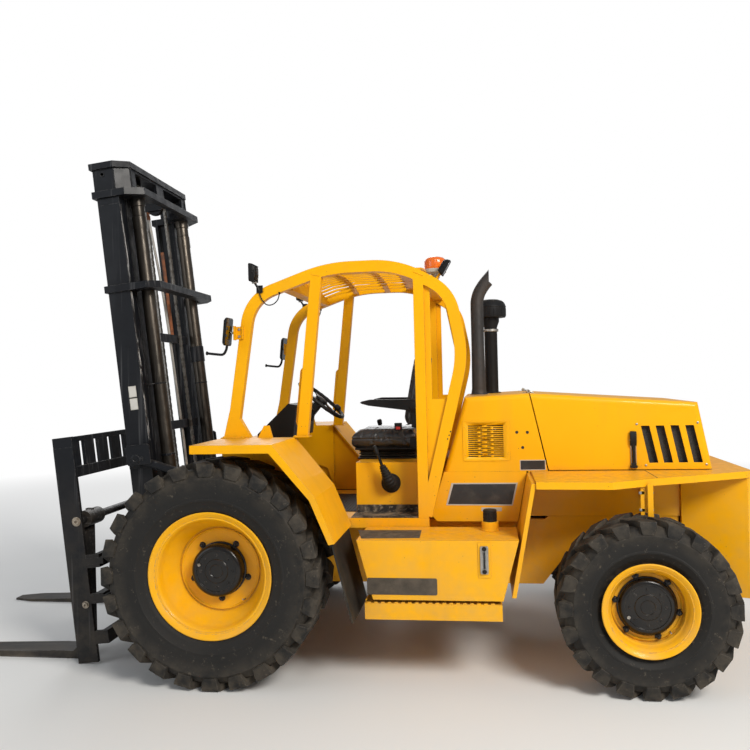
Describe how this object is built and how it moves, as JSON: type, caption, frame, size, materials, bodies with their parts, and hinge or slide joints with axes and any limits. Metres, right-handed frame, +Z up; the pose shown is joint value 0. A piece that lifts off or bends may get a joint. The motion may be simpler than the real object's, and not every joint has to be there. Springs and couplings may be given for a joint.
{
  "type": "pneumatic tire forklift",
  "caption": "Rough-terrain pneumatic tire forklift with a leaning two-stage mast, floating shaft-hung forks, open overhead guard and rear steering.",
  "frame": {"origin": "on the ground under the middle of the whole length, on the centre plane", "axes": "+X forward towards the forks, +Y to the left, +Z up"},
  "size_m": [5.3386, 2.34, 3.1864],
  "materials": {
    "black_paint": "satin",
    "black_plastic": "matt",
    "black_rubber": "matt",
    "chain_steel": "oily",
    "chrome_rod": "polished",
    "engine_paint": "matt",
    "orange_lens": "gloss",
    "seat_vinyl": "grained",
    "tyre_rubber": "dusty matt",
    "yellow_paint": "satin gloss"
  },
  "bodies": {
    "chassis": {"main_frame": "yellow_paint", "front_axle": "black_paint", "rear_axle": "black_paint", "front_fenders": "yellow_paint", "mudflaps": "black_rubber", "side_tanks": "yellow_paint", "floor_and_seat_box": "yellow_paint", "dash_cowl": "black_plastic", "overhead_guard": "yellow_paint", "roof_grille": "yellow_paint", "front_cowl": "yellow_paint", "rear_deck": "yellow_paint", "counterweight": "yellow_paint", "radiator": "engine_paint", "engine_block": "engine_paint", "exhaust_stack": "black_paint", "air_pre_cleaner": "black_plastic", "lamps_and_mirrors": "black_plastic", "beacon": "orange_lens", "seat_cushion": "seat_vinyl", "seat_back": "seat_vinyl", "seat_frame": "black_plastic", "control_levers": "black_plastic"},
    "steer_rod": {"steer_rod": "black_paint"},
    "steering_wheel": {"steering_wheel": "black_plastic"},
    "hood": {"hood_lid": "yellow_paint", "hood_latches": "black_rubber"},
    "mast_outer": {"outer_mast": "black_paint", "lift_cylinders": "black_paint", "chain_rear_runs": "chain_steel"},
    "mast_inner": {"inner_mast": "black_paint", "chain_front_runs": "chain_steel", "chain_over_sheaves": "chain_steel"},
    "carriage": {"carriage_frame": "black_paint", "load_backrest": "black_paint"},
    "knuckle_left": {"knuckle_left": "black_paint"},
    "front_wheel_left": {"front_rim_left": "yellow_paint", "front_tyre_left": "tyre_rubber"},
    "rear_wheel_left": {"rear_rim_left": "yellow_paint", "rear_tyre_left": "tyre_rubber"},
    "fork_left": {"fork_left": "black_paint"},
    "tilt_barrel_left": {"tilt_barrel_left": "black_paint"},
    "tilt_rod_left": {"tilt_rod_left": "chrome_rod"},
    "knuckle_right": {"knuckle_right": "black_paint"},
    "front_wheel_right": {"front_rim_right": "yellow_paint", "front_tyre_right": "tyre_rubber"},
    "rear_wheel_right": {"rear_rim_right": "yellow_paint", "rear_tyre_right": "tyre_rubber"},
    "fork_right": {"fork_right": "black_paint"},
    "tilt_barrel_right": {"tilt_barrel_right": "black_paint"},
    "tilt_rod_right": {"tilt_rod_right": "chrome_rod"}
  },
  "joints": [
    {"name": "mast_tilt", "type": "hinge", "parent": "chassis", "child": "mast_outer", "pos_m": [0.75029, 0, 0.51082], "axis": [0, 1, 0], "range_deg": [-14, 4]},
    {"name": "mast_lift", "type": "slide", "parent": "mast_outer", "child": "mast_inner", "axis": [0.1045, 0, 0.9945], "range_m": [0, 2.1]},
    {"name": "carriage_lift", "type": "slide", "parent": "mast_inner", "child": "carriage", "axis": [0.1045, 0, 0.9945], "range_m": [0, 2.1], "deforming": ["chain_front_runs"]},
    {"name": "hood_hinge", "type": "hinge", "parent": "chassis", "child": "hood", "pos_m": [-1.41333, 0, 1.6205], "axis": [0, 1, 0], "range_deg": [0, 55]},
    {"name": "steer_left", "type": "hinge", "parent": "chassis", "child": "knuckle_left", "pos_m": [-1.97433, 0.8, 0.472], "axis": [0, 0, 1], "range_deg": [-50, 50]},
    {"name": "steer_right", "type": "hinge", "parent": "chassis", "child": "knuckle_right", "pos_m": [-1.97433, -0.8, 0.472], "axis": [0, 0, 1], "range_deg": [-50, 50]},
    {"name": "steer_rod_slide", "type": "slide", "parent": "chassis", "child": "steer_rod", "axis": [0, 1, 0], "range_m": [-0.12, 0.12]},
    {"name": "steering_wheel_turn", "type": "hinge", "parent": "chassis", "child": "steering_wheel", "pos_m": [-0.01833, 0, 1.583], "axis": [-0.6428, 0, 0.766], "range_deg": [-540, 540]},
    {"name": "front_wheel_left_spin", "type": "hinge", "parent": "chassis", "child": "front_wheel_left", "pos_m": [0.40567, 0.947, 0.637], "axis": [0, 1, 0], "continuous": true},
    {"name": "rear_wheel_left_spin", "type": "hinge", "parent": "knuckle_left", "child": "rear_wheel_left", "pos_m": [-1.97433, 0.951, 0.472], "axis": [0, 1, 0], "continuous": true},
    {"name": "fork_left_float", "type": "hinge", "parent": "carriage", "child": "fork_left", "pos_m": [1.38033, 0.61, 0.87999], "axis": [0, 1, 0], "range_deg": [-18, 5]},
    {"name": "tilt_barrel_left_swing", "type": "hinge", "parent": "chassis", "child": "tilt_barrel_left", "pos_m": [0.10567, 0.59, 0.933], "axis": [0, 1, 0], "range_deg": [-20, 20]},
    {"name": "tilt_rod_left_slide", "type": "slide", "parent": "tilt_barrel_left", "child": "tilt_rod_left", "axis": [0.951, 0, 0.3091], "range_m": [-0.2, 0.1]},
    {"name": "front_wheel_right_spin", "type": "hinge", "parent": "chassis", "child": "front_wheel_right", "pos_m": [0.40567, -0.947, 0.637], "axis": [0, 1, 0], "continuous": true},
    {"name": "rear_wheel_right_spin", "type": "hinge", "parent": "knuckle_right", "child": "rear_wheel_right", "pos_m": [-1.97433, -0.951, 0.472], "axis": [0, 1, 0], "continuous": true},
    {"name": "fork_right_float", "type": "hinge", "parent": "carriage", "child": "fork_right", "pos_m": [1.38033, -0.61, 0.87999], "axis": [0, 1, 0], "range_deg": [-18, 5]},
    {"name": "tilt_barrel_right_swing", "type": "hinge", "parent": "chassis", "child": "tilt_barrel_right", "pos_m": [0.10567, -0.59, 0.933], "axis": [0, 1, 0], "range_deg": [-20, 20]},
    {"name": "tilt_rod_right_slide", "type": "slide", "parent": "tilt_barrel_right", "child": "tilt_rod_right", "axis": [0.951, 0, 0.3091], "range_m": [-0.2, 0.1]}
  ],
  "couplings": [
    {"joint": "carriage_lift", "follows": "mast_lift", "ratio": 1},
    {"joint": "steer_right", "follows": "steer_left", "ratio": 1},
    {"joint": "steer_rod_slide", "follows": "steer_left", "m_per_rad": -0.0993},
    {"joint": "steering_wheel_turn", "follows": "steer_left", "ratio": -10},
    {"joint": "tilt_barrel_left_swing", "follows": "mast_tilt", "ratio": 0.525},
    {"joint": "tilt_rod_left_slide", "follows": "mast_tilt", "m_per_rad": 0.622},
    {"joint": "tilt_barrel_right_swing", "follows": "mast_tilt", "ratio": 0.525},
    {"joint": "tilt_rod_right_slide", "follows": "mast_tilt", "m_per_rad": 0.622}
  ]
}
